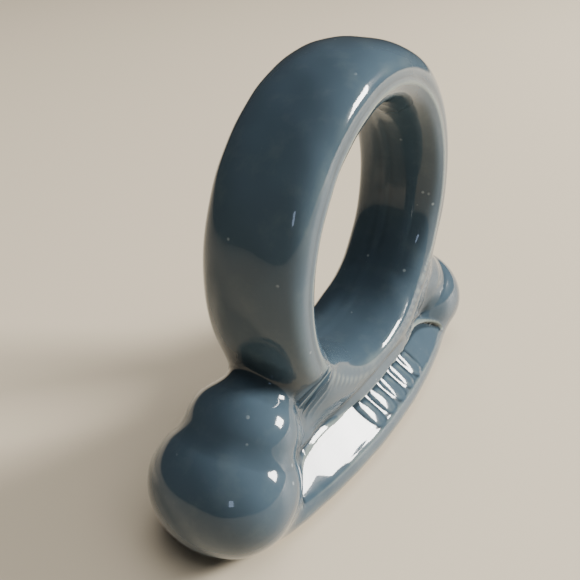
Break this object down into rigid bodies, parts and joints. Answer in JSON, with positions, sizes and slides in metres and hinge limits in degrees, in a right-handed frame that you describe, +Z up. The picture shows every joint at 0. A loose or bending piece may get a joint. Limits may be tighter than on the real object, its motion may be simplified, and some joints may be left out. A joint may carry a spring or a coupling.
{
  "type": "guitar slide",
  "caption": "Finger-ring guitar slide in glazed stoneware: a ring for the finger on a round-ended bar that is drawn along the strings.",
  "frame": {"origin": "middle of the bare foot, on the surface the slide stands on", "axes": "+X along the bar, +Y along the axis of the ring's bore, +Z up from the foot to the ring's crown"},
  "size_m": [0.0428, 0.014, 0.0334],
  "materials": {
    "stoneware": "fired, bare, matte",
    "slip": "fired, matte",
    "sprig_clay": "fired, matte",
    "glaze": "glossy blue-grey glaze"
  },
  "bodies": {
    "root": {"finger_ring": "stoneware", "string_bar": "stoneware", "slip_joint": "slip", "front_reeds": "sprig_clay", "back_reeds": "sprig_clay", "glaze_coat": "glaze"}
  },
  "joints": []
}
